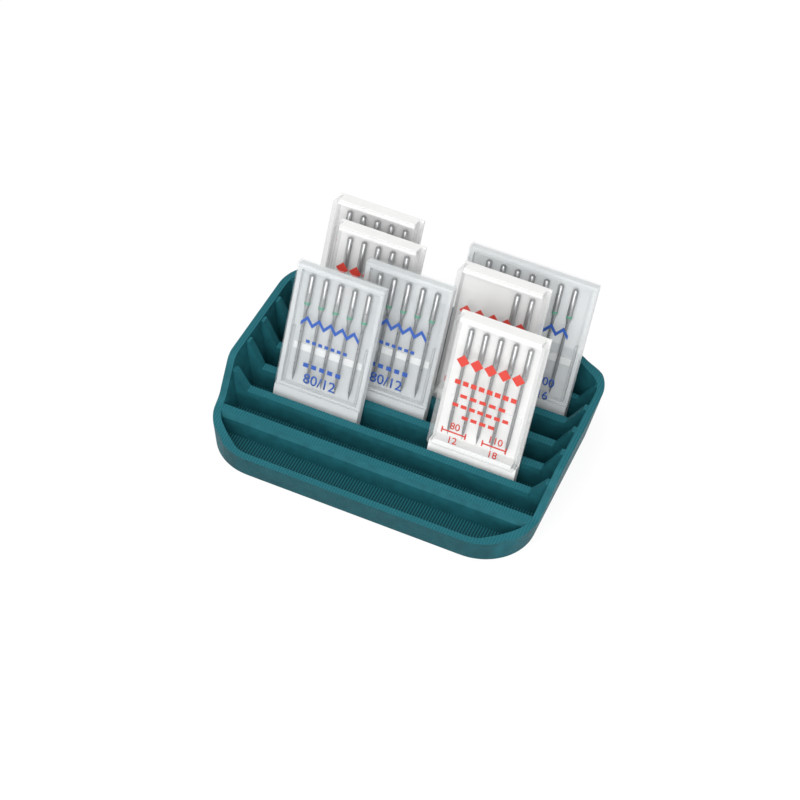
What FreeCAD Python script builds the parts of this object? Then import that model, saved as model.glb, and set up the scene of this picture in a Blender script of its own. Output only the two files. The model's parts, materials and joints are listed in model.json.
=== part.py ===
"""Tray for needle cases, with seven clear cases standing in its slots.

Millimetres, +X to the right, +Y to the back, +Z up, origin at the middle of the tray's underside.
The tray is one printed piece. Each case is a base, a cover that slides up, a clip bar and its needles.
"""
import FreeCAD
import Part
import math
import os
import Sketcher
from FreeCAD import Placement, Rotation, Vector

doc = FreeCAD.newDocument("needle_organizer")
sheet = doc.addObject("Spreadsheet::Sheet", "Sizes")

SIZES = {
    # tray
    "tray_width": 110.0,
    "wall": 2.4,
    "floor_thick": 1.6,
    "rim_height": 9.4,
    "wall_height": 24.0,
    "front_corner": 18.0,
    "rear_corner": 16.5,
    "rise_start": 18.4,
    "rise_end": 28.4,
    "rise_foot_round": 7.0,
    "rise_knee_round": 5.0,
    # dividers
    "first_back": 17.0,
    "pitch": 10.9,
    "divider_thick": 3.0,
    "web_thick": 2.6,
    "bead_height": 2.4,
    "rear_divider_thick": 2.0,
    "step_up": 0.5,
    "web_inset": 1.4,
    "gusset_run": 3.4,
    "gusset_lip": 0.9,
    "gusset_drop": 0.7,
    "bevel_run": 1.2,
    "bevel_drop": 1.5,
    "rear_room": 11.0,
    "sink": 0.5,
    "margin": 1.0,
    # cases
    "lean": 19.0,
    "gap": 0.3,
    "foot_thick": 4.4,
    "foot_height": 8.6,
    "slim_width": 30.0,
    "well_ledge": 0.8,
    "slim_head_room": 1.4,
    "slim_thick": 4.6,
    "wide_width": 44.0,
    "deep_width": 30.0,
    "deep_head_room": 2.6,
    "deep_thick": 7.6,
    "skin": 1.0,
    "deep_skin": 1.2,
    "side_wall": 1.4,
    "end_wall": 1.6,
    "slim_back": 0.9,
    "deep_back": 1.4,
    "guide_width": 0.8,
    "cover_travel": 20.0,
    "corner_round": 0.9,
    "lip_height": 1.4,
    "lip_reach": 0.5,
    "clip_height": 2.4,
    "clip_level": 0.42,
    "clip_thick": 0.5,
    # needles
    "needle_length": 38.4,
    "needle_pitch": 5.0,
    "shank_radius": 1.0,
    "shank_length": 10.6,
    "shank_bevel": 0.4,
    "cone_length": 1.8,
    "blade_radius": 0.56,
    "point_length": 4.2,
    "tip_radius": 0.12,
    "tip_room": 1.2,
    # from each case's outer side to the tray's nearer side
    "slim_1_inset": 12.5,
    "slim_2_inset": 31.5,
    "wide_1_inset": 7.7,
    "deep_1_inset": 12.5,
    "deep_2_inset": 20.3,
    "deep_3_inset": 16.2,
    "deep_4_inset": 10.7,
}

# Lengths that follow from what the tray and the cases hold
DERIVED = {
    "tray_depth": "first_back + 5 * pitch + rear_room",
    "slim_length": "foot_height + well_ledge + tip_room + needle_length + slim_head_room + end_wall",
    "deep_length": "foot_height + 2 * end_wall + tip_room + needle_length + deep_head_room",
}

for row, (alias, value) in enumerate(SIZES.items(), start=1):
    sheet.set("A%d" % row, alias.replace("_", " "))
    sheet.set("B%d" % row, str(value))
    sheet.setAlias("B%d" % row, alias)
doc.recompute()


def size(expression):
    """Value of an expression written with the names in the sheet."""
    probe = doc.getObject("Probe") or doc.addObject("App::FeaturePython", "Probe")
    if "Value" not in probe.PropertiesList:
        probe.addProperty("App::PropertyFloat", "Value")
    probe.setExpression("Value", linked(expression))
    probe.recompute()
    return probe.Value


def linked(expression):
    """The same expression with every name pointing at the sheet."""
    words = []
    word = ""
    for letter in expression + " ":
        if letter.isalnum() or letter == "_":
            word += letter
            continue
        if word in SIZES:
            word = "Sizes." + word
        elif word in DERIVED:
            word = "(" + linked(DERIVED[word]) + ")"
        words.append(word)
        words.append(letter)
        word = ""
    return "".join(words).strip()


def make_body(label):
    body = doc.addObject("PartDesign::Body", label)
    body.Label = label
    return body


def origin_plane(body, role):
    for feature in body.Origin.OriginFeatures:
        if feature.Role == role:
            return feature


def outline(body, name, role, level, points):
    """Closed sketch on an origin plane; each corner is tied to the sheet by two distances."""
    sketch = body.newObject("Sketcher::SketchObject", name)
    sketch.AttachmentSupport = (origin_plane(body, role), [""])
    sketch.MapMode = "FlatFace"
    if level:
        sketch.setExpression("AttachmentOffset.Base.z", linked(level))
    corners = [Vector(size(x), size(y), 0) for x, y in points]
    for start, end in zip(corners, corners[1:] + corners[:1]):
        sketch.addGeometry(Part.LineSegment(start, end), False)
    count = len(corners)
    for index in range(count):
        sketch.addConstraint(Sketcher.Constraint("Coincident", index, 2, (index + 1) % count, 1))
    for index, (x, y) in enumerate(points):
        for kind, text in (("DistanceX", x), ("DistanceY", y)):
            number = sketch.addConstraint(Sketcher.Constraint(kind, -1, 1, index, 1, size(text)))
            sketch.setExpression("Constraints[%d]" % number, linked(text))
    return sketch


def rounded_outline(body, name, level, half_x, half_y, front_radius, rear_radius):
    """Rectangle with two corner radii: straight sides joined by quarter arcs."""
    sketch = outline(body, name, "XY_Plane", level, [])
    corners = []
    for side_x, side_y, radius, start in ((1, -1, front_radius, -90), (1, 1, rear_radius, 0),
                                          (-1, 1, rear_radius, 90), (-1, -1, front_radius, 180)):
        centre_x = "%d * (%s - (%s))" % (side_x, half_x, radius)
        centre_y = "%d * (%s - (%s))" % (side_y, half_y, radius)
        circle = Part.Circle(Vector(size(centre_x), size(centre_y), 0), Vector(0, 0, 1), size(radius))
        arc = Part.ArcOfCircle(circle, math.radians(start), math.radians(start + 90))
        index = sketch.addGeometry(arc, False)
        corners.append((index, arc))
        for kind, text in (("DistanceX", centre_x), ("DistanceY", centre_y)):
            number = sketch.addConstraint(Sketcher.Constraint(kind, -1, 1, index, 3, size(text)))
            sketch.setExpression("Constraints[%d]" % number, linked(text))
        number = sketch.addConstraint(Sketcher.Constraint("Radius", index, size(radius)))
        sketch.setExpression("Constraints[%d]" % number, linked(radius))
    for (index, arc), (next_index, next_arc) in zip(corners, corners[1:] + corners[:1]):
        line = sketch.addGeometry(Part.LineSegment(arc.EndPoint, next_arc.StartPoint), False)
        sketch.addConstraint(Sketcher.Constraint("Tangent", index, 2, line, 1))
        sketch.addConstraint(Sketcher.Constraint("Tangent", line, 2, next_index, 1))
    return sketch


def pad(body, sketch, length, both_ways=False, reverse=False):
    feature = body.newObject("PartDesign::Pad", sketch.Name + "Pad")
    feature.Profile = sketch
    feature.setExpression("Length", linked(length))
    feature.Midplane = both_ways
    feature.Reversed = reverse
    sketch.Visibility = False
    doc.recompute()
    return feature


def pocket(body, sketch, length, both_ways=False, reverse=False):
    feature = body.newObject("PartDesign::Pocket", sketch.Name + "Cut")
    feature.Profile = sketch
    feature.setExpression("Length", linked(length))
    feature.Midplane = both_ways
    feature.Reversed = reverse
    sketch.Visibility = False
    doc.recompute()
    return feature


def edges_where(shape, test):
    found = []
    for number, edge in enumerate(shape.Edges, start=1):
        middle = edge.valueAt((edge.FirstParameter + edge.LastParameter) / 2)
        if test(edge, middle):
            found.append("Edge%d" % number)
    return found


def dress(body, kind, name, test, amount):
    """Rounds or bevels the edges that pass the test."""
    names = edges_where(body.Shape, test)
    feature = body.newObject("PartDesign::" + kind, name)
    feature.Base = (body.Group[-2], names)
    feature.setExpression("Radius" if kind == "Fillet" else "Size", linked(amount))
    doc.recompute()
    return feature


def upright(edge):
    box = edge.BoundBox
    return box.ZLength > 1 and box.XLength < 0.01 and box.YLength < 0.01


def box_points(x_low, x_high, y_low, y_high):
    return [(x_low, y_low), (x_high, y_low), (x_high, y_high), (x_low, y_high)]


# The tray: a block with a stepped side outline, hollowed, then filled with dividers

NEAR = 0.05
LONG_EDGE = 50
tray = make_body("tray")
half_depth = size("tray_depth / 2")

block = outline(tray, "TrayOutline", "XY_Plane", None,
                box_points("-tray_width / 2", "tray_width / 2", "-tray_depth / 2", "tray_depth / 2"))
pad(tray, block, "wall_height")

side = outline(tray, "SideProfile", "YZ_Plane", None, [
    ("-tray_depth / 2 - margin", "rim_height"),
    ("rise_start - tray_depth / 2", "rim_height"),
    ("rise_end - tray_depth / 2", "wall_height"),
    ("rise_end - tray_depth / 2", "wall_height + margin"),
    ("-tray_depth / 2 - margin", "wall_height + margin"),
])
pocket(tray, side, "tray_width + 2 * margin", both_ways=True)


def along_x_at(y, z):
    def test(edge, middle):
        return edge.BoundBox.XLength > LONG_EDGE and abs(middle.y - y) < NEAR and abs(middle.z - z) < NEAR
    return test


dress(tray, "Fillet", "RiseFoot", along_x_at(size("rise_start") - half_depth, size("rim_height")),
      "rise_foot_round")
dress(tray, "Fillet", "RiseKnee", along_x_at(size("rise_end") - half_depth, size("wall_height")),
      "rise_knee_round")
dress(tray, "Fillet", "FrontCorners", lambda edge, middle: upright(edge) and middle.y < 0, "front_corner")
dress(tray, "Fillet", "RearCorners", lambda edge, middle: upright(edge) and middle.y > 0, "rear_corner")

hollow = rounded_outline(tray, "Hollow", "floor_thick", "tray_width / 2 - wall", "tray_depth / 2 - wall",
                         "front_corner - wall", "rear_corner - wall")
pocket(tray, hollow, "wall_height", reverse=True)

# The first divider closes the trough; its front edge is bevelled

first = outline(tray, "FirstDivider", "YZ_Plane", None, [
    ("first_back - tray_depth / 2", "floor_thick - sink"),
    ("first_back - tray_depth / 2", "rim_height"),
    ("first_back - divider_thick - tray_depth / 2", "rim_height"),
    ("first_back - divider_thick - bevel_run - tray_depth / 2", "rim_height - bevel_drop"),
    ("first_back - divider_thick - bevel_run - tray_depth / 2", "floor_thick - sink"),
])
pad(tray, first, "tray_width - 2 * web_inset", both_ways=True)

# The other dividers flare up into the side walls, so a case can't slip past their ends

DIVIDERS = range(1, 6)


def divider_back(index):
    return "first_back + %d * pitch - tray_depth / 2" % index


def divider_top(index):
    return "rim_height + %d * step_up" % index


def thickness(index):
    return "rear_divider_thick" if index == DIVIDERS[-1] else "web_thick"


def rise_height(y):
    """Height of the straight part of the side wall's rise at a given y."""
    share = (y + half_depth - size("rise_start")) / size("rise_end - rise_start")
    return size("rim_height") + min(1.0, share) * size("wall_height - rim_height")


for index in DIVIDERS:
    front_face = size(divider_back(index)) - size("divider_thick")
    flare = "wall_height - gusset_drop"
    if front_face + half_depth < size("rise_end + margin"):
        flare = "rim_height + %.4f * (wall_height - rim_height)" % (
            (rise_height(front_face) - size("rim_height")) / size("wall_height - rim_height") - 0.04)
    web = outline(tray, "Divider%d" % (index + 1), "XZ_Plane", "-(%s)" % divider_back(index), [
        ("web_inset - tray_width / 2", "floor_thick - sink"),
        ("tray_width / 2 - web_inset", "floor_thick - sink"),
        ("tray_width / 2 - web_inset", flare),
        ("tray_width / 2 - wall - gusset_lip", flare),
        ("tray_width / 2 - wall - gusset_run", divider_top(index)),
        ("gusset_run + wall - tray_width / 2", divider_top(index)),
        ("gusset_lip + wall - tray_width / 2", flare),
        ("web_inset - tray_width / 2", flare),
    ])
    pad(tray, web, thickness(index))
    if index == DIVIDERS[-1]:
        continue
    bead = outline(tray, "Bead%d" % (index + 1), "YZ_Plane", None,
                   box_points(divider_back(index) + " - divider_thick",
                              divider_back(index) + " - web_thick / 2",
                              divider_top(index) + " - bead_height", divider_top(index)))
    pad(tray, bead, "tray_width - 2 * wall - 2 * gusset_run", both_ways=True)


def case_placement(label, slot, side, width, next_thick):
    """Puts a case's lower back edge in a slot, its back against the divider behind."""
    x = size("%d * (tray_width / 2 - %s_inset - %s / 2)" % (side, label, width))
    lean = math.radians(size("lean"))
    gap = size("gap")
    top = size(divider_top(slot))
    front_of_next = size(divider_back(slot)) - size(next_thick)
    bottom = size("floor_thick") + gap
    y = front_of_next - gap / math.cos(lean) - (top - bottom) * math.tan(lean)
    return Placement(Vector(x, y, bottom), Rotation(Vector(1, 0, 0), -size("lean")))


NEEDLE_SIDES = 10


def add_needles(label, count, first_x, depth, tip_level, placement):
    """Row of needles side by side, each lofted through ten-sided rings from its point to its shank."""
    body = make_body(label)
    body.AllowCompound = True
    rings = []
    for name, level, radius in (("tip", "0", "tip_radius"),
                                ("point", "point_length", "blade_radius"),
                                ("blade", "needle_length - shank_length - cone_length", "blade_radius"),
                                ("shank", "needle_length - shank_length", "shank_radius"),
                                ("head", "needle_length - shank_bevel", "shank_radius"),
                                ("end", "needle_length", "shank_radius - shank_bevel")):
        corners = []
        for corner in range(NEEDLE_SIDES):
            angle = 360 * corner / NEEDLE_SIDES
            corners.append(("%s + (%s) * cos(%s)" % (first_x, radius, angle),
                            "(%s) * sin(%s) - (%s)" % (radius, angle, depth)))
        height = "%s + %s" % (tip_level, level)
        rings.append(outline(body, "%s_%s" % (label, name), "XY_Plane", height, corners))
    needle = body.newObject("PartDesign::AdditiveLoft", label + "_loft")
    needle.Profile = rings[0]
    needle.Sections = rings[1:]
    needle.Ruled = True
    for ring in rings:
        ring.Visibility = False
    doc.recompute()
    row = body.newObject("PartDesign::LinearPattern", label + "_row")
    row.Originals = [needle]
    row.Direction = (rings[0], ["H_Axis"])
    row.Occurrences = count
    row.setExpression("Length", linked("%d * needle_pitch" % (count - 1)))
    body.Tip = row
    doc.recompute()
    body.Placement = placement
    return body


def add_clip(label, width, back, length, placement):
    """Bar across the back, behind the blades."""
    body = make_body(label)
    bar = outline(body, label + "_outline", "YZ_Plane", None,
                  box_points("-%s - clip_thick" % back, "-" + back,
                             "%s * clip_level" % length, "%s * clip_level + clip_height" % length))
    pad(body, bar, "%s - 2 * side_wall - 4 * gap - 2 * guide_width" % width, both_ways=True)
    body.Placement = placement
    return body


def add_slim_case(label, slot, side, width, count, next_thick):
    """Thin case: clear base with a foot, clear cover sliding up on two guides."""
    place = case_placement(label, slot, side, width, next_thick)
    base = make_body(label + "_base")
    plate = outline(base, label + "_plate", "YZ_Plane", None, [
        ("0", "0"), ("0", "slim_length"),
        ("skin + gap - slim_thick", "slim_length"),
        ("skin + gap - slim_thick", "foot_height"),
        ("-foot_thick", "foot_height"), ("-foot_thick", "0"),
    ])
    pad(base, plate, width, both_ways=True)
    well = outline(base, label + "_well", "XZ_Plane", "slim_back",
                   box_points("side_wall - %s / 2" % width, "%s / 2 - side_wall" % width,
                              "foot_height + well_ledge", "slim_length - end_wall"))
    pocket(base, well, "slim_thick", reverse=True)
    base.Placement = place

    cover = make_body(label + "_cover")
    front = outline(cover, label + "_front", "YZ_Plane", None, [
        ("-slim_thick", "foot_height + gap"),
        ("skin - slim_thick", "foot_height + gap"),
        ("skin - slim_thick", "slim_length + gap"),
        ("-slim_back", "slim_length + gap"),
        ("-slim_back", "slim_length + gap + lip_height / 2"),
        ("-slim_thick - lip_reach", "slim_length + gap + lip_height / 2"),
        ("-slim_thick - lip_reach", "slim_length + gap - lip_height / 2"),
        ("-slim_thick", "slim_length + gap - lip_height / 2"),
    ])
    pad(cover, front, width, both_ways=True)
    for side_name, sign in (("left", "-"), ("right", "")):
        outer = "%s(%s / 2 - side_wall - gap)" % (sign, width)
        inner = "%s(%s / 2 - side_wall - gap - guide_width)" % (sign, width)
        guide = outline(cover, "%s_guide_%s" % (label, side_name), "XZ_Plane", "slim_thick - skin",
                        box_points(outer, inner, "foot_height + end_wall",
                                   "slim_length - end_wall - gap - cover_travel"))
        pad(cover, guide, "slim_thick - skin - slim_back - 2 * gap", reverse=True)
    cover.Placement = place

    add_clip(label + "_clip", width, "slim_back", "slim_length", place)
    first_x = "-%s * needle_pitch" % ((count - 1) / 2)
    add_needles(label + "_needles", count, first_x, "slim_back + gap + shank_radius",
                "foot_height + well_ledge + tip_room", place)


def add_deep_case(label, slot, side, next_thick, count=5, missing=0):
    """Thick case: white base with a thin foot, clear channel-shaped cover around it."""
    place = case_placement(label, slot, side, "deep_width", next_thick)
    base = make_body(label + "_base")
    plate = outline(base, label + "_plate", "YZ_Plane", None, [
        ("0", "0"), ("0", "deep_length"), ("-deep_back", "deep_length"),
        ("-deep_back", "foot_height"), ("-foot_thick", "foot_height"), ("-foot_thick", "0"),
    ])
    pad(base, plate, "deep_width", both_ways=True)
    for end, low, high in (("bottom", "foot_height", "foot_height + end_wall"),
                           ("top", "deep_length - end_wall", "deep_length")):
        bar = outline(base, "%s_%s" % (label, end), "YZ_Plane", None,
                      box_points("deep_skin + gap - deep_thick", "-deep_back / 2", low, high))
        pad(base, bar, "deep_width - 2 * deep_skin - 2 * gap", both_ways=True)
    base.Placement = place

    cover = make_body(label + "_cover")
    channel = outline(cover, label + "_channel", "XY_Plane", "foot_height + gap", [
        ("-deep_width / 2", "-deep_back - gap"), ("-deep_width / 2", "-deep_thick"),
        ("deep_width / 2", "-deep_thick"), ("deep_width / 2", "-deep_back - gap"),
        ("deep_width / 2 - deep_skin", "-deep_back - gap"),
        ("deep_width / 2 - deep_skin", "deep_skin - deep_thick"),
        ("deep_skin - deep_width / 2", "deep_skin - deep_thick"),
        ("deep_skin - deep_width / 2", "-deep_back - gap"),
    ])
    pad(cover, channel, "deep_length - foot_height - gap")
    outer = size("deep_width / 2") - NEAR
    dress(cover, "Fillet", label + "_corners",
          lambda edge, middle: edge.BoundBox.YLength > 3 and abs(middle.x) > outer, "corner_round")
    cover.Placement = place

    add_clip(label + "_clip", "deep_width", "deep_back", "deep_length", place)
    first_x = "%s * needle_pitch" % (missing - (count + missing - 1) / 2)
    add_needles(label + "_needles", count, first_x, "deep_back + gap + shank_radius",
                "foot_height + end_wall + tip_room", place)


LEFT = -1
RIGHT = 1
add_slim_case("slim_1", 2, LEFT, "slim_width", 5, "divider_thick")
add_slim_case("slim_2", 3, LEFT, "slim_width", 5, "divider_thick")
add_slim_case("wide_1", 5, RIGHT, "wide_width", 7, "rear_divider_thick")
add_deep_case("deep_1", 2, RIGHT, "divider_thick")
add_deep_case("deep_2", 4, RIGHT, "divider_thick", count=2, missing=3)
add_deep_case("deep_3", 4, LEFT, "divider_thick")
add_deep_case("deep_4", 5, LEFT, "rear_divider_thick")

doc.recompute()
bodies = [item for item in doc.Objects if item.TypeId == "PartDesign::Body"]
for item in doc.Objects:
    if "Invalid" in item.State or "Error" in item.State:
        raise RuntimeError("bad state: %s %s" % (item.Name, item.State))
os.makedirs("parts", exist_ok=True)
for item in bodies:
    if item.Shape.isNull() or not item.Shape.isValid():
        raise RuntimeError("bad shape: " + item.Label)
    item.Shape.exportStep(os.path.join("parts", item.Label + ".step"))
    box = item.Shape.BoundBox
    print("%-16s solids %d  x %.1f %.1f  y %.1f %.1f  z %.1f %.1f" % (
        item.Label, len(item.Shape.Solids), box.XMin, box.XMax, box.YMin, box.YMax, box.ZMin, box.ZMax))
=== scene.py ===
"""Looks of a needle case organizer: a printed teal tray with seven clear needle cases in its slots.

Everything is in metres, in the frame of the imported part. Pieces of this script stand for the packed
tray and needles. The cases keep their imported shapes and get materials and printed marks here.
"""
import json
import math

import bmesh
import bpy
from bpy.props import FloatProperty, FloatVectorProperty, IntProperty, PointerProperty
from mathutils import Matrix, Vector


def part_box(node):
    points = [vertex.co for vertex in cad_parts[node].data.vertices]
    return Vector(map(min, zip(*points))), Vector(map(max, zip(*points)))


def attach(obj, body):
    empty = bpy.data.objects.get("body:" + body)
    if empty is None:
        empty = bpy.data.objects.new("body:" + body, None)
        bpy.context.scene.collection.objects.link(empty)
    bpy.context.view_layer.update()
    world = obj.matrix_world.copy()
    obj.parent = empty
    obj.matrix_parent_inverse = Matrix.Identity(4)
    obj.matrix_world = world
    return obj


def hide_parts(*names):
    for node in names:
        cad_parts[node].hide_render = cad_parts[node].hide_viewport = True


bl_info = {
    "name": "Needle case organizer",
    "version": (1, 0, 0),
    "blender": (4, 5, 0),
    "location": "View3D > Sidebar > Organizer",
    "description": "Builds the looks of a printed tray with clear needle cases",
    "category": "Object",
}

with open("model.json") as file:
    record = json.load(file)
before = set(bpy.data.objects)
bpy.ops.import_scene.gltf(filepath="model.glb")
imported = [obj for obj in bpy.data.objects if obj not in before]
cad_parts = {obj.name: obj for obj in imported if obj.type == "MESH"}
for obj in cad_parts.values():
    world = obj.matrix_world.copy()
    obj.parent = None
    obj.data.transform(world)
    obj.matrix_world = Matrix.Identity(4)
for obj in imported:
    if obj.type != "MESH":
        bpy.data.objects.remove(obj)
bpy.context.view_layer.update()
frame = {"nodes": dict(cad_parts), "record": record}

MM = 0.001

# Needles in each case
SLIM_CASES = {"slim_1": 5, "slim_2": 5, "wide_1": 7}
DEEP_CASES = {"deep_1": 5, "deep_2": 2, "deep_3": 5, "deep_4": 5}

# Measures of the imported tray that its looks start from: heights above its underside, and distances
# inwards from its box
DIVIDER_TOPS = 12.4 * MM
PACKED_RIM = 9.4 * MM
RIM_MARGIN = 2 * MM
SIDE_LEAN_START = 7 * MM
FRONT_LEAN_START = 5 * MM
FULL_LEAN = 2.6 * MM
RIM_RAMP = (4 * MM, 14 * MM)
WELD_DISTANCE = 0.001 * MM
SHARP_EDGE = math.radians(30)
BEVELLED_EDGE = math.radians(35)

# Where painted shade changes: y of the shaded outer front face, z of the shaded floor
PAINTED_FRONT_SHADE = (-39.5 * MM, -37.5 * MM)
PAINTED_FLOOR_SHADE = (2 * MM, 4 * MM)

# Printed marks: drops are measured down from a case's top, widths are shares of the case's width
NUMBER_BOLDNESS = 0.010
STITCH_DROP, STITCH_RISE, STITCH_STROKE = 20.0 * MM, 2.4 * MM, 1.5 * MM
RUNNING_DROP, RUNNING_HEIGHT, RUNNING_SHARE = 25.4 * MM, 1.1 * MM, 0.75
LOW_DASH_DROP, LOW_DASH_HEIGHT, LOW_DASH_SHARE = 34.0 * MM, 1.5 * MM, 0.70
SLIM_NUMBER_DROP, SLIM_NUMBER_HEIGHT = 39.6 * MM, 5.0 * MM
WIDE_NUMBER_DROPS, WIDE_NUMBER_HEIGHT = (38.0 * MM, 43.0 * MM), 4.2 * MM
WIDE_NUMBER_PLACES = (-0.30, -0.10, 0.10, 0.30)
DIAMONDS, DIAMOND_PITCH, DIAMOND_DROP, DIAMOND_HALF = 5, 0.155, 13.5 * MM, 2.2 * MM
# Each row: half width as a share, drop and height in mm, number of dashes
DEEP_ROWS = ((0.36, 20.0, 1.6, 8), (0.27, 24.6, 1.2, 5), (0.33, 28.2, 1.2, 7), (0.20, 31.8, 1.2, 4))
DEEP_DASH_SHARE = 0.7
DEEP_NUMBER_PLACE, DEEP_NUMBER_HEIGHT = 0.23, 3.4 * MM
UPPER_DROP, BAR_TOP, BAR_FOOT, END_FOOT, LOWER_DROP = (
    drop * MM for drop in (37.6, 38.4, 38.9, 39.7, 42.6))
BAR_HALF, END_HALF = 4.0 * MM, 0.25 * MM
# Thickness of the ink, as a share of its height above the cover
INK_SHARE = 0.8

# Sockets of the Mix node: inputs of the two values, and the output
MIX_SOCKETS = {"FLOAT": ((2, 3), 0), "RGBA": ((6, 7), 2)}

# Each lamp: place, width in metres, power in watts
LAMPS = {"key_lamp": ((-0.30, -0.15, 1.00), 0.7, 4.0),
         "fill_lamp": ((0.20, -0.80, 0.55), 0.9, 9.5)}
FLOOR_HALF = 3.0
FLOOR_SHADOW = 0.12
ROOM_LIGHT = 0.70
IMAGE_PIXELS = 800
SENSOR_MM = 36.0


class TraySizes(bpy.types.PropertyGroup):
    wall_lean: FloatProperty(name="Wall lean", subtype="ANGLE", default=math.radians(8.25),
                             description="How far the side and front walls lean outwards")
    wall_top: FloatProperty(name="Wall top", description="Height of the high side walls",
                            default=20.6 * MM, unit="LENGTH")
    front_rim: FloatProperty(name="Front rim", default=8.4 * MM, unit="LENGTH",
                             description="Height of the rim in front of the trough")
    edge_round: FloatProperty(name="Edge round", description="Rounding of the printed edges",
                              default=0.25 * MM, unit="LENGTH")
    stroke_pitch: FloatProperty(name="Stroke pitch", description="Distance between infill strokes",
                                default=0.95 * MM, unit="LENGTH")
    layer_pitch: FloatProperty(name="Layer pitch", description="Distance between printed layers",
                               default=0.24 * MM, unit="LENGTH")
    teal: FloatVectorProperty(name="Teal", description="Colour of the printed plastic",
                              subtype="COLOR", size=3, default=(0.014, 0.105, 0.128), min=0, max=1)


class CaseSizes(bpy.types.PropertyGroup):
    foot_thick: FloatProperty(name="Foot thickness", description="Thickness of a case's foot",
                              default=4.4 * MM, unit="LENGTH")
    slim_thick: FloatProperty(name="Slim case", description="Thickness of a slim case",
                              default=4.6 * MM, unit="LENGTH")
    deep_thick: FloatProperty(name="Deep case", description="Thickness of a deep case",
                              default=7.6 * MM, unit="LENGTH")
    print_lift: FloatProperty(name="Print lift", description="Height of the ink above a cover",
                              default=0.06 * MM, unit="LENGTH")
    blue_ink: FloatVectorProperty(name="Blue ink", description="Ink on the slim covers",
                                  subtype="COLOR", size=3, default=(0.020, 0.080, 0.340),
                                  min=0, max=1)
    red_ink: FloatVectorProperty(name="Red ink", description="Ink on the deep covers",
                                 subtype="COLOR", size=3, default=(0.520, 0.036, 0.022),
                                 min=0, max=1)


class NeedleSizes(bpy.types.PropertyGroup):
    length: FloatProperty(name="Length", description="Length of a needle",
                          default=38.4 * MM, unit="LENGTH")
    pitch: FloatProperty(name="Pitch", description="Distance between needles",
                         default=5 * MM, unit="LENGTH")
    shank_radius: FloatProperty(name="Shank radius", description="Radius of the thick shank",
                                default=1.0 * MM, unit="LENGTH")
    shank_length: FloatProperty(name="Shank length", description="Length of the thick shank",
                                default=10.6 * MM, unit="LENGTH")
    cone_length: FloatProperty(name="Cone length", description="Length of the cone under the shank",
                               default=1.8 * MM, unit="LENGTH")
    blade_radius: FloatProperty(name="Blade radius", description="Radius of the thin blade",
                                default=0.56 * MM, unit="LENGTH")
    point_length: FloatProperty(name="Point length", description="Length of the tapering point",
                                default=4.2 * MM, unit="LENGTH")
    tip_radius: FloatProperty(name="Tip radius", description="Radius just behind the tip",
                              default=0.12 * MM, unit="LENGTH")
    shank_flat: FloatProperty(name="Shank flat", default=0.75 * MM, unit="LENGTH",
                              description="Distance from the axis to the shank's flat")
    sides: IntProperty(name="Sides", description="Facets round a needle", default=20, min=8)


class CameraSizes(bpy.types.PropertyGroup):
    azimuth: FloatProperty(name="Azimuth", description="Turn of the camera to the right",
                           default=math.radians(19.12), subtype="ANGLE")
    elevation: FloatProperty(name="Elevation", description="Height angle of the camera",
                             default=math.radians(45.79), subtype="ANGLE")
    roll: FloatProperty(name="Roll", description="Turn of the camera about its view",
                        default=math.radians(5.81), subtype="ANGLE")
    place: FloatVectorProperty(name="Place", description="Place of the camera",
                               subtype="TRANSLATION", size=3, default=(0.1544, -0.4518, 0.5046))
    focal_pixels: FloatProperty(name="Focal length", default=2106.0,
                                description="Focal length in pixels of the image")


# Materials

class Graph:
    """A node tree, with short ways to add nodes and join them."""

    def __init__(self, tree):
        self.nodes = tree.nodes
        self.links = tree.links

    def add(self, kind, **settings):
        node = self.nodes.new(kind)
        for name, value in settings.items():
            setattr(node, name, value)
        return node

    def join(self, source, target):
        self.links.new(source, target)

    def feed(self, target, value):
        """Joins a socket to another one, or gives it a number or a colour."""
        if isinstance(value, bpy.types.NodeSocket):
            self.join(value, target)
        elif isinstance(value, tuple):
            target.default_value = value + (1.0,)
        else:
            target.default_value = value

    def maths(self, operation, *values):
        node = self.add("ShaderNodeMath", operation=operation)
        for socket, value in zip(node.inputs, values):
            self.feed(socket, value)
        return node.outputs[0]

    def span(self, value, low, high, from_low=0.0, from_high=1.0):
        """Moves a value from one range to another."""
        node = self.add("ShaderNodeMapRange")
        for socket, number in (("Value", value), ("From Min", from_low), ("From Max", from_high),
                               ("To Min", low), ("To Max", high)):
            self.feed(node.inputs[socket], number)
        return node.outputs[0]

    def rays(self, *kinds):
        """1 for the named kinds of ray, 0 for all others."""
        path = self.add("ShaderNodeLightPath")
        seen = path.outputs[kinds[0]]
        for kind in kinds[1:]:
            seen = self.maths("MAXIMUM", seen, path.outputs[kind])
        return seen


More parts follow.
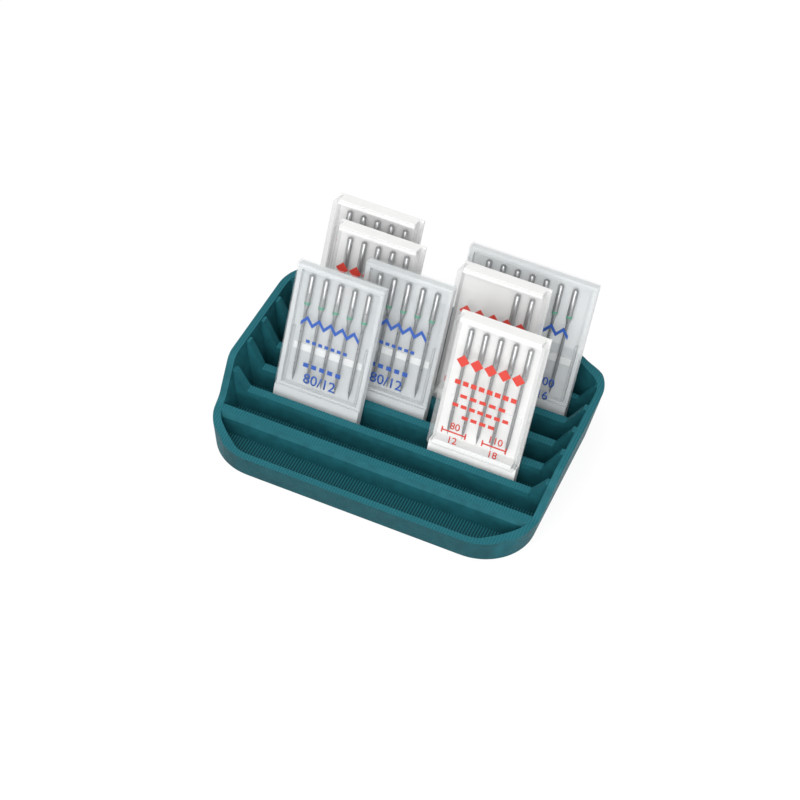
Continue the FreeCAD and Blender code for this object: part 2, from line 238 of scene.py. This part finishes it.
class Shade(Graph):
    """A material with its shader, in its object's own coordinates."""

    def __init__(self, name):
        self.material = bpy.data.materials.new(name)
        self.material.use_nodes = True
        super().__init__(self.material.node_tree)
        self.shader = self.nodes["Principled BSDF"]
        self.place = self.add("ShaderNodeTexCoord").outputs["Object"]

    def set(self, **values):
        """Sets the shader's inputs, with _ for the spaces in their names."""
        for name, value in values.items():
            self.feed(self.shader.inputs[name.replace("_", " ")], value)

    def axes(self, vector):
        node = self.add("ShaderNodeSeparateXYZ")
        self.join(vector, node.inputs[0])
        return node.outputs

    def noise(self, scale, detail=3, stretch=None):
        node = self.add("ShaderNodeTexNoise")
        node.inputs["Scale"].default_value = scale
        node.inputs["Detail"].default_value = detail
        place = self.place
        if stretch:
            mapping = self.add("ShaderNodeMapping")
            mapping.inputs["Scale"].default_value = stretch
            self.join(place, mapping.inputs["Vector"])
            place = mapping.outputs[0]
        self.join(place, node.inputs["Vector"])
        return node.outputs["Fac"]

    def waves(self, coordinate, pitch):
        """A wave between 0 and 1 along one coordinate."""
        turns = self.maths("MULTIPLY", coordinate, 2 * math.pi / pitch)
        half = self.maths("MULTIPLY", self.maths("SINE", turns), 0.5)
        return self.maths("ADD", half, 0.5)

    def mix(self, factor, first, second, kind="RGBA"):
        node = self.add("ShaderNodeMix", data_type=kind)
        self.join(factor, node.inputs[0])
        places, result = MIX_SOCKETS[kind]
        for place, value in zip(places, (first, second)):
            self.feed(node.inputs[place], value)
        return node.outputs[result]

    def tones(self, factor, colour, dark, light):
        """A colour between a darker and a lighter tone of itself."""
        return self.mix(factor, lightened(colour, dark), lightened(colour, light))

    def bump(self, height, strength, distance):
        node = self.add("ShaderNodeBump")
        node.inputs["Strength"].default_value = strength
        node.inputs["Distance"].default_value = distance
        self.join(height, node.inputs["Height"])
        self.join(node.outputs[0], self.shader.inputs["Normal"])


def lightened(colour, factor):
    return tuple(min(1.0, channel * factor) for channel in colour)


def printed_plastic(sizes):
    """Layers round the walls, infill strokes on upward faces; painted shade on the outer front and
    floor, painted light on tops.
    """
    shade = Shade("printed_teal")
    x, y, z = shade.axes(shade.place)
    facing = shade.axes(shade.add("ShaderNodeNewGeometry").outputs["True Normal"])
    upward = shade.span(facing["Z"], 0, 1, from_low=0.80, from_high=0.95)
    wobble = shade.span(shade.noise(900), -0.06 * MM, 0.06 * MM)
    strokes = shade.waves(shade.maths("ADD", x, wobble), sizes.stroke_pitch)
    layers = shade.waves(z, sizes.layer_pitch)
    # Painted highlights: infill strokes on the tops shown lighter where light catches them
    stroke_highlight_mask = shade.maths("MULTIPLY", strokes, shade.span(shade.noise(70), 0.35, 1.0))
    teal = tuple(sizes.teal)
    mottle = shade.span(shade.noise(260, 5), 0, 1, from_low=0.3, from_high=0.7)
    inner = shade.tones(mottle, teal, dark=0.74, light=1.02)
    # Painted shade: the outer front face is a darker copy of the wall teal
    outer = shade.tones(mottle, teal, dark=0.55, light=0.72)
    walls = shade.mix(shade.span(y, 1, 0, *PAINTED_FRONT_SHADE), inner, outer)
    # Painted light: the tops are a lighter copy of the teal, with painted highlights on the strokes
    painted_lit_tops = shade.tones(stroke_highlight_mask, teal, dark=0.85, light=1.30)
    # Painted shade: the floor is a much darker copy of the teal, with painted highlights on its
    # strokes
    floor = shade.tones(strokes, teal, dark=0.28, light=1.05)
    tops = shade.mix(shade.span(z, 0, 1, *PAINTED_FLOOR_SHADE), floor, painted_lit_tops)
    shade.set(Base_Color=shade.mix(upward, walls, tops), Specular_IOR_Level=0.08,
              Roughness=shade.span(shade.noise(420, 4), 0.38, 0.56))
    shade.bump(shade.mix(upward, layers, strokes, "FLOAT"), strength=0.55, distance=0.05 * MM)
    return shade.material


def moulded_plastic(name, colour, alpha, rough):
    """Moulded plastic: thinner looking face on, denser at its edges, with faint flow marks."""
    shade = Shade(name)
    flow = shade.noise(180, 4, stretch=(1.0, 1.0, 0.25))
    rim = shade.add("ShaderNodeLayerWeight")
    rim.inputs["Blend"].default_value = 0.35
    shade.set(Base_Color=shade.tones(flow, colour, dark=0.96, light=1.03), IOR=1.49,
              Alpha=shade.span(rim.outputs["Facing"], *alpha),
              Roughness=shade.span(shade.noise(320), rough * 0.8, rough * 1.3))
    shade.bump(flow, strength=0.12, distance=0.04 * MM)
    return shade.material


def plated_steel():
    """Bright nickel plate with a fine polish grain."""
    shade = Shade("nickel_plate")
    grain = shade.noise(700, 2)
    shade.set(Base_Color=shade.mix(grain, (0.29, 0.295, 0.30), (0.44, 0.445, 0.45)),
              Roughness=shade.span(grain, 0.24, 0.34), Metallic=1.0)
    shade.bump(grain, strength=0.05, distance=0.01 * MM)
    return shade.material


def ink(name, colour):
    """Screen-printed ink, slightly uneven."""
    shade = Shade(name)
    grain = shade.noise(2400, 4)
    shade.set(Base_Color=shade.tones(grain, colour, dark=0.85, light=1.15),
              Roughness=shade.span(grain, 0.35, 0.5))
    shade.bump(grain, strength=0.1, distance=0.01 * MM)
    return shade.material


def white_floor():
    """White to the camera and to what clear and shiny things show, apart from its shadows."""
    shade = Shade("floor_paint")
    shade.set(Base_Color=shade.mix(shade.noise(8), (0.60, 0.60, 0.60), (0.66, 0.66, 0.66)))
    glow = shade.add("ShaderNodeEmission")
    glow.inputs["Strength"].default_value = 1.0 - FLOOR_SHADOW
    diffuse = shade.add("ShaderNodeBsdfDiffuse")
    diffuse.inputs["Color"].default_value = (FLOOR_SHADOW, FLOOR_SHADOW, FLOOR_SHADOW, 1)
    both = shade.add("ShaderNodeAddShader")
    shade.join(glow.outputs[0], both.inputs[0])
    shade.join(diffuse.outputs[0], both.inputs[1])
    choice = shade.add("ShaderNodeMixShader")
    shade.join(shade.rays("Is Camera Ray", "Is Glossy Ray", "Is Transmission Ray"),
               choice.inputs[0])
    shade.join(shade.shader.outputs[0], choice.inputs[1])
    shade.join(both.outputs[0], choice.inputs[2])
    shade.join(choice.outputs[0], shade.nodes["Material Output"].inputs["Surface"])
    return shade.material


# Shapes

def sizes_of(name):
    return getattr(bpy.context.scene, name)


def finished_mesh(shape, name):
    """Plain mesh of a bmesh, which is freed."""
    mesh = bpy.data.meshes.new(name)
    shape.to_mesh(mesh)
    shape.free()
    return mesh


def evaluated_mesh(carrier):
    """Plain mesh of an object's final shape."""
    depsgraph = bpy.context.evaluated_depsgraph_get()
    return bpy.data.meshes.new_from_object(carrier.evaluated_get(depsgraph))


def new_piece(name, mesh, material, body):
    piece = bpy.data.objects.new(name, mesh)
    bpy.context.scene.collection.objects.link(piece)
    piece.data.materials.clear()
    piece.data.materials.append(material)
    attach(piece, body)
    return piece


def dress_node(node, material):
    """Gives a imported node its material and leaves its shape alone."""
    mesh = frame["nodes"][node].data
    if mesh.materials:
        for index in range(len(mesh.materials)):
            mesh.materials[index] = material
    else:
        mesh.materials.append(material)


def dress_case(case, base, cover, clip):
    dress_node(case + "_base", base)
    dress_node(case + "_cover", cover)
    dress_node(case + "_clip", clip)


def lift_axis(case):
    for joint in frame["record"]["behaviour"]["joints"]:
        if joint["name"] == case + "_lift":
            return Vector(joint["axis"]).normalized()
    raise RuntimeError("no lift joint for " + case)


def case_frame(case):
    """Matrix from a case's own axes, at the foot of its back, to the object's."""
    axis = lift_axis(case)
    lean = math.atan2(axis.y, axis.z)
    low, high = (Vector(corner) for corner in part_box(case + "_base"))
    y = low.y + sizes_of("case_sizes").foot_thick * math.cos(lean)
    place = Vector(((low.x + high.x) / 2, y, low.z))
    return Matrix.Translation(place) @ Matrix.Rotation(-lean, 4, "X")


def case_points(case, node):
    """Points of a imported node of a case, in the case's own axes."""
    inverse = case_frame(case).inverted()
    return [inverse @ vertex.co for vertex in frame["nodes"][case + node].data.vertices]


def smooth_step(value, low, high):
    share = min(1.0, max(0.0, (value - low) / (high - low)))
    return share * share * (3 - 2 * share)


def shape_tray(mesh, sizes):
    """Leans the side and front walls outwards, and lowers the front rim and the wall tops."""
    low, high = (Vector(corner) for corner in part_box("tray"))
    divider_tops = low.z + DIVIDER_TOPS
    packed_rim = low.z + PACKED_RIM
    squeeze = (sizes.wall_top - divider_tops) / (high.z - divider_tops)
    spread = math.tan(sizes.wall_lean)
    ramp_start, ramp_end = (low.y + distance for distance in RIM_RAMP)
    for vertex in mesh.vertices:
        x, y, z = vertex.co
        to_side = smooth_step(abs(x), high.x - SIDE_LEAN_START, high.x - FULL_LEAN)
        to_front = smooth_step(-y, -low.y - FRONT_LEAN_START, -low.y - FULL_LEAN)
        if z > divider_tops:
            z = divider_tops + (z - divider_tops) * squeeze
        ramp = 1 - smooth_step(y, ramp_start, ramp_end)
        if z > packed_rim - RIM_MARGIN:
            z -= ramp * (packed_rim - sizes.front_rim)
        rise = z - low.z
        vertex.co = (x + math.copysign(spread * rise * to_side, x),
                     y - spread * rise * to_front, z)


def needle_mesh(sizes):
    """One needle along +Z from its tip, turned, with a flat on the back of its shank."""
    shank_foot = sizes.length - sizes.shank_length
    bevel, tip_height, tip_share = 0.4 * MM, 0.3 * MM, 0.4
    taper_height, taper_radius = sizes.point_length * 0.55, sizes.blade_radius * 0.8
    rings = [(0, sizes.tip_radius * tip_share), (tip_height, sizes.tip_radius),
             (taper_height, taper_radius), (sizes.point_length, sizes.blade_radius),
             (shank_foot - sizes.cone_length, sizes.blade_radius),
             (shank_foot, sizes.shank_radius), (sizes.length - bevel, sizes.shank_radius),
             (sizes.length, sizes.shank_radius - bevel)]
    shape = bmesh.new()
    loops = []
    for height, radius in rings:
        loop = []
        for side in range(sizes.sides):
            angle = 2 * math.pi * side / sizes.sides
            back = min(radius * math.sin(angle), sizes.shank_flat)
            loop.append(shape.verts.new((radius * math.cos(angle), back, height)))
        loops.append(loop)
    for lower, upper in zip(loops, loops[1:]):
        for side in range(sizes.sides):
            following = (side + 1) % sizes.sides
            corners = (lower[side], lower[following], upper[following], upper[side])
            shape.faces.new(corners).smooth = True
    shape.faces.new(list(reversed(loops[0])))
    shape.faces.new(loops[-1])
    bmesh.ops.recalc_face_normals(shape, faces=shape.faces)
    return finished_mesh(shape, "needle")


def band_mesh(sizes):
    """A thin painted band round the foot of a needle's shank."""
    shank_gap, paint_thick, height = 0.2 * MM, 0.03 * MM, 0.9 * MM
    low = sizes.length - sizes.shank_length + shank_gap
    radius = sizes.shank_radius + paint_thick
    shape = bmesh.new()
    bmesh.ops.create_cone(shape, cap_ends=True, segments=sizes.sides, radius1=radius,
                          radius2=radius, depth=height,
                          matrix=Matrix.Translation((0, 0, low + height / 2)))
    return finished_mesh(shape, "band")


def row_tree(name, material):
    """Geometry nodes: copies of one shape in a row along X."""
    tree = bpy.data.node_groups.new(name, "GeometryNodeTree")
    for label, kind in (("Shape", "NodeSocketObject"), ("Count", "NodeSocketInt"),
                        ("Pitch", "NodeSocketFloat"), ("Start", "NodeSocketVector")):
        tree.interface.new_socket(name=label, in_out="INPUT", socket_type=kind)
    tree.interface.new_socket(name="Geometry", in_out="OUTPUT", socket_type="NodeSocketGeometry")
    graph = Graph(tree)
    given = graph.add("NodeGroupInput").outputs
    result = graph.add("NodeGroupOutput")
    line = graph.add("GeometryNodeMeshLine")
    step = graph.add("ShaderNodeCombineXYZ")
    shape = graph.add("GeometryNodeObjectInfo")
    copies = graph.add("GeometryNodeInstanceOnPoints")
    real = graph.add("GeometryNodeRealizeInstances")
    finish = graph.add("GeometryNodeSetMaterial")
    finish.inputs["Material"].default_value = material
    for source, target in ((given["Count"], line.inputs["Count"]),
                           (given["Start"], line.inputs["Start Location"]),
                           (given["Pitch"], step.inputs["X"]),
                           (step.outputs[0], line.inputs["Offset"]),
                           (given["Shape"], shape.inputs["Object"]),
                           (line.outputs[0], copies.inputs["Points"]),
                           (shape.outputs["Geometry"], copies.inputs["Instance"]),
                           (copies.outputs[0], real.inputs[0]),
                           (real.outputs[0], finish.inputs[0]),
                           (finish.outputs[0], result.inputs[0])):
        graph.join(source, target)
    return tree


def row_of(name, shape_mesh, count, pitch, start, material):
    """Plain mesh of a row of copies, made by geometry nodes."""
    shape = bpy.data.objects.new(name + "_shape", shape_mesh)
    carrier = bpy.data.objects.new(name + "_carrier", bpy.data.meshes.new(name + "_carrier"))
    for item in (shape, carrier):
        bpy.context.scene.collection.objects.link(item)
    tree = row_tree(name + "_row", material)
    modifier = carrier.modifiers.new("row", "NODES")
    modifier.node_group = tree
    values = {"Shape": shape, "Count": count, "Pitch": pitch, "Start": start}
    for socket in tree.interface.items_tree:
        if socket.in_out == "INPUT":
            modifier[socket.identifier] = values[socket.name]
    mesh = evaluated_mesh(carrier)
    mesh.name = name
    carrier.modifiers.remove(modifier)
    for item in (carrier, shape):
        bpy.data.objects.remove(item)
    bpy.data.node_groups.remove(tree)
    return mesh


# Printed marks: flat shapes in a cover's own plane, x across and z up

def flat_face(shape, corners):
    shape.faces.new([shape.verts.new((x, 0, z)) for x, z in corners])


def flat_box(shape, x_low, x_high, z_low, z_high):
    flat_face(shape, [(x_low, z_low), (x_high, z_low), (x_high, z_high), (x_low, z_high)])


def flat_diamond(shape, x, z, half):
    flat_face(shape, [(x, z - half), (x + half, z), (x, z + half), (x - half, z)])


def zigzag(shape, x_low, x_high, z, rise, stroke, turns):
    """A bold zigzag stitch line."""
    step = (x_high - x_low) / turns
    points = [(x_low + number * step, z + (rise if number % 2 else 0))
              for number in range(turns + 1)]
    for (x_1, z_1), (x_2, z_2) in zip(points, points[1:]):
        flat_face(shape, [(x_1, z_1), (x_2, z_2), (x_2, z_2 + stroke), (x_1, z_1 + stroke)])


def add_number(shape, text, height, x, z):
    """A plain number, standing in the x-z plane."""
    curve = bpy.data.curves.new("number", "FONT")
    curve.body = text
    curve.size = height
    curve.align_x = "CENTER"
    curve.offset = height * NUMBER_BOLDNESS
    carrier = bpy.data.objects.new("number", curve)
    bpy.context.scene.collection.objects.link(carrier)
    mesh = evaluated_mesh(carrier)
    bpy.data.objects.remove(carrier)
    bpy.data.curves.remove(curve)
    mesh.transform(Matrix.Rotation(math.radians(90), 4, "X"))
    mesh.transform(Matrix.Translation((x, 0, z)))
    shape.from_mesh(mesh)
    bpy.data.meshes.remove(mesh)


def dash_line(shape, half, low, height, count, share=0.62):
    """A line of dashes in the place of words."""
    step = 2 * half / count
    for number in range(count):
        x = (number + 0.5) * step - half
        flat_box(shape, x - step * share / 2, x + step * share / 2, low, low + height)


def stitches(shape, half, length, turns, dashes):
    """Zigzag stitch line over a line of running stitches."""
    zigzag(shape, -half, half, length - STITCH_DROP, STITCH_RISE, STITCH_STROKE, turns)
    dash_line(shape, half * RUNNING_SHARE, length - RUNNING_DROP, RUNNING_HEIGHT, dashes)


def slim_marks(shape, width, length):
    """Stitch lines, a line of dashes and one plain size number."""
    half = width * 0.34
    stitches(shape, half, length, 10, 7)
    dash_line(shape, half * LOW_DASH_SHARE, length - LOW_DASH_DROP, LOW_DASH_HEIGHT, 5)
    add_number(shape, "80/12", SLIM_NUMBER_HEIGHT, 0, length - SLIM_NUMBER_DROP)


def wide_marks(shape, width, length):
    """Stitch lines and four equal pairs of plain size numbers."""
    stitches(shape, width * 0.38, length, 16, 11)
    for place in WIDE_NUMBER_PLACES:
        for text, drop in zip(("100", "16"), WIDE_NUMBER_DROPS):
            add_number(shape, text, WIDE_NUMBER_HEIGHT, width * place, length - drop)


def deep_marks(shape, width, length):
    """Row of diamonds, lines of dashes, and two pairs of plain numbers between end marks."""
    for number in range(DIAMONDS):
        flat_diamond(shape, (number - DIAMONDS // 2) * width * DIAMOND_PITCH,
                     length - DIAMOND_DROP, DIAMOND_HALF)
    for share, drop, height, count in DEEP_ROWS:
        dash_line(shape, width * share, length - (drop + height) * MM, height * MM, count,
                  DEEP_DASH_SHARE)
    for side, upper, lower in ((-1, "80", "12"), (1, "110", "18")):
        x = side * width * DEEP_NUMBER_PLACE
        add_number(shape, upper, DEEP_NUMBER_HEIGHT, x, length - UPPER_DROP)
        flat_box(shape, x - BAR_HALF, x + BAR_HALF, length - BAR_FOOT, length - BAR_TOP)
        for end in (x - BAR_HALF, x + BAR_HALF):
            flat_box(shape, end - END_HALF, end + END_HALF, length - END_FOOT,
                     length - UPPER_DROP)
        add_number(shape, lower, DEEP_NUMBER_HEIGHT, x, length - LOWER_DROP)


def add_marks(case, draw, thickness, material):
    """Prints a case's marks on the front of its cover."""
    low, high = (Vector(corner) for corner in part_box(case + "_base"))
    shape = bmesh.new()
    draw(shape, high.x - low.x, max(point.z for point in case_points(case, "_base")))
    mesh = finished_mesh(shape, case + "_marks")
    lift = sizes_of("case_sizes").print_lift
    mesh.transform(case_frame(case) @ Matrix.Translation((0, -(thickness + lift), 0)))
    piece = new_piece(case + "_marks", mesh, material, case + "_lid")
    thick = piece.modifiers.new("ink", "SOLIDIFY")
    thick.thickness = lift * INK_SHARE


# Operators

class BuildTray(bpy.types.Operator):
    """Builds the printed tray with its leaning walls"""
    bl_idname = "organizer.build_tray"
    bl_label = "Printed tray"

    def execute(self, context):
        sizes = sizes_of("tray_sizes")
        mesh = frame["nodes"]["tray"].data.copy()
        mesh.name = "printed_tray"
        shape = bmesh.new()
        shape.from_mesh(mesh)
        bmesh.ops.remove_doubles(shape, verts=shape.verts, dist=WELD_DISTANCE)
        for face in shape.faces:
            face.smooth = True
        for edge in shape.edges:
            edge.smooth = edge.calc_face_angle(math.pi) < SHARP_EDGE
        shape.to_mesh(mesh)
        shape.free()
        shape_tray(mesh, sizes)
        piece = new_piece("printed_tray", mesh, printed_plastic(sizes), "tray")
        bevel = piece.modifiers.new("edge", "BEVEL")
        bevel.width = sizes.edge_round
        bevel.segments = 2
        bevel.limit_method = "ANGLE"
        bevel.angle_limit = BEVELLED_EDGE
        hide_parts("tray")
        return {"FINISHED"}


class BuildSlimCases(bpy.types.Operator):
    """Dresses the slim and the wide cases and prints their marks"""
    bl_idname = "organizer.build_slim_cases"
    bl_label = "Slim cases"

    def execute(self, context):
        sizes = sizes_of("case_sizes")
        base = moulded_plastic("milky_base", (0.70, 0.725, 0.735), alpha=(0.62, 0.92), rough=0.30)
        cover = moulded_plastic("clear_cover", (0.66, 0.69, 0.70), alpha=(0.04, 0.46), rough=0.08)
        clip = moulded_plastic("milky_clip", (0.90, 0.91, 0.91), alpha=(0.70, 0.95), rough=0.35)
        blue = ink("blue_ink", tuple(sizes.blue_ink))
        for case in SLIM_CASES:
            dress_case(case, base, cover, clip)
            draw = wide_marks if case == "wide_1" else slim_marks
            add_marks(case, draw, sizes.slim_thick, blue)
        return {"FINISHED"}


class BuildDeepCases(bpy.types.Operator):
    """Dresses the deep cases and prints their marks"""
    bl_idname = "organizer.build_deep_cases"
    bl_label = "Deep cases"

    def execute(self, context):
        sizes = sizes_of("case_sizes")
        base = moulded_plastic("white_base", (0.80, 0.80, 0.79), alpha=(0.97, 1.0), rough=0.38)
        cover = moulded_plastic("clear_shell", (0.66, 0.67, 0.675), alpha=(0.04, 0.50), rough=0.08)
        clip = moulded_plastic("white_clip", (0.86, 0.86, 0.86), alpha=(0.90, 1.0), rough=0.35)
        red = ink("red_ink", tuple(sizes.red_ink))
        for case in DEEP_CASES:
            dress_case(case, base, cover, clip)
            add_marks(case, deep_marks, sizes.deep_thick, red)
        return {"FINISHED"}


class BuildNeedles(bpy.types.Operator):
    """Lays the rows of turned needles in the cases"""
    bl_idname = "organizer.build_needles"
    bl_label = "Needles"

    def execute(self, context):
        sizes = sizes_of("needle_sizes")
        steel = plated_steel()
        green = ink("green_paint", (0.02, 0.26, 0.15))
        for case, count in {**SLIM_CASES, **DEEP_CASES}.items():
            across, deep, high = zip(*case_points(case, "_needles"))
            start = (min(across) + sizes.shank_radius, (min(deep) + max(deep)) / 2, min(high))
            piece = self.add_row(case, "_needle_row", needle_mesh(sizes), count, start, steel)
            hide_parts(case + "_needles")
            if case in SLIM_CASES:
                self.add_row(case, "_bands", band_mesh(sizes), count, start, green)
        return {"FINISHED"}

    def add_row(self, case, ending, shape_mesh, count, start, material):
        pitch = sizes_of("needle_sizes").pitch
        mesh = row_of(case + ending, shape_mesh, count, pitch, start, material)
        mesh.transform(case_frame(case))
        return new_piece(case + ending, mesh, material, case + "_case")


class BuildStage(bpy.types.Operator):
    """Sets the floor, the soft light and the camera"""
    bl_idname = "organizer.build_stage"
    bl_label = "Stage"

    def execute(self, context):
        scene = context.scene
        scene.view_settings.view_transform = "Standard"
        self.add_floor(scene)
        self.light_world(scene)
        for name, (place, width, power) in LAMPS.items():
            self.add_lamp(scene, name, place, width, power)
        self.add_camera(scene)
        return {"FINISHED"}

    def add_floor(self, scene):
        shape = bmesh.new()
        corners = ((-1, -1), (1, -1), (1, 1), (-1, 1))
        shape.faces.new([shape.verts.new((x * FLOOR_HALF, y * FLOOR_HALF, 0))
                         for x, y in corners])
        floor = bpy.data.objects.new("floor", finished_mesh(shape, "floor"))
        scene.collection.objects.link(floor)
        floor.data.materials.append(white_floor())

    def light_world(self, scene):
        world = bpy.data.worlds.new("studio")
        world.use_nodes = True
        scene.world = world
        graph = Graph(world.node_tree)
        background = graph.nodes["Background"]
        background.inputs["Color"].default_value = (1, 1, 1, 1)
        seen = graph.rays("Is Camera Ray", "Is Transmission Ray")
        graph.join(graph.span(seen, ROOM_LIGHT, 1.0), background.inputs["Strength"])

    def add_lamp(self, scene, name, place, width, power):
        lamp = bpy.data.lights.new(name, "AREA")
        lamp.size = width
        lamp.energy = power
        item = bpy.data.objects.new(name, lamp)
        item.location = place
        item.rotation_euler = (-Vector(place)).to_track_quat("-Z", "Y").to_euler()
        scene.collection.objects.link(item)

    def add_camera(self, scene):
        sizes = sizes_of("camera_sizes")
        level = math.cos(sizes.elevation)
        back = Vector((math.sin(sizes.azimuth) * level, -math.cos(sizes.azimuth) * level,
                       math.sin(sizes.elevation)))
        right = Vector((math.cos(sizes.azimuth), math.sin(sizes.azimuth), 0))
        up = back.cross(right)
        turned_right = math.cos(sizes.roll) * right + math.sin(sizes.roll) * up
        turned_up = -math.sin(sizes.roll) * right + math.cos(sizes.roll) * up
        data = bpy.data.cameras.new("camera")
        data.sensor_width = SENSOR_MM
        data.lens = sizes.focal_pixels / IMAGE_PIXELS * SENSOR_MM
        data.clip_start = 0.01
        camera = bpy.data.objects.new("camera", data)
        axes = Matrix((turned_right, turned_up, back)).transposed()
        camera.matrix_world = Matrix.Translation(Vector(sizes.place)) @ axes.to_4x4()
        scene.collection.objects.link(camera)
        scene.camera = camera


class OrganizerPanel(bpy.types.Panel):
    bl_idname = "VIEW3D_PT_organizer"
    bl_label = "Needle case organizer"
    bl_space_type = "VIEW_3D"
    bl_region_type = "UI"
    bl_category = "Organizer"

    def draw(self, context):
        for group in GROUPS:
            settings = getattr(context.scene, group)
            for name in settings.__annotations__:
                self.layout.prop(settings, name)
        for operator in STEPS:
            self.layout.operator(operator.bl_idname)


GROUPS = {"tray_sizes": TraySizes, "case_sizes": CaseSizes, "needle_sizes": NeedleSizes,
          "camera_sizes": CameraSizes}
STEPS = (BuildTray, BuildSlimCases, BuildDeepCases, BuildNeedles, BuildStage)


def register():
    for item in (*GROUPS.values(), *STEPS, OrganizerPanel):
        bpy.utils.register_class(item)
    for name, group in GROUPS.items():
        setattr(bpy.types.Scene, name, PointerProperty(type=group))


def unregister():
    for name in GROUPS:
        delattr(bpy.types.Scene, name)
    for item in (OrganizerPanel, *reversed(STEPS), *reversed(GROUPS.values())):
        bpy.utils.unregister_class(item)


def main():
    register()
    bpy.ops.organizer.build_tray()
    bpy.ops.organizer.build_slim_cases()
    bpy.ops.organizer.build_deep_cases()
    bpy.ops.organizer.build_needles()
    bpy.ops.organizer.build_stage()


if __name__ == "__main__":
    main()
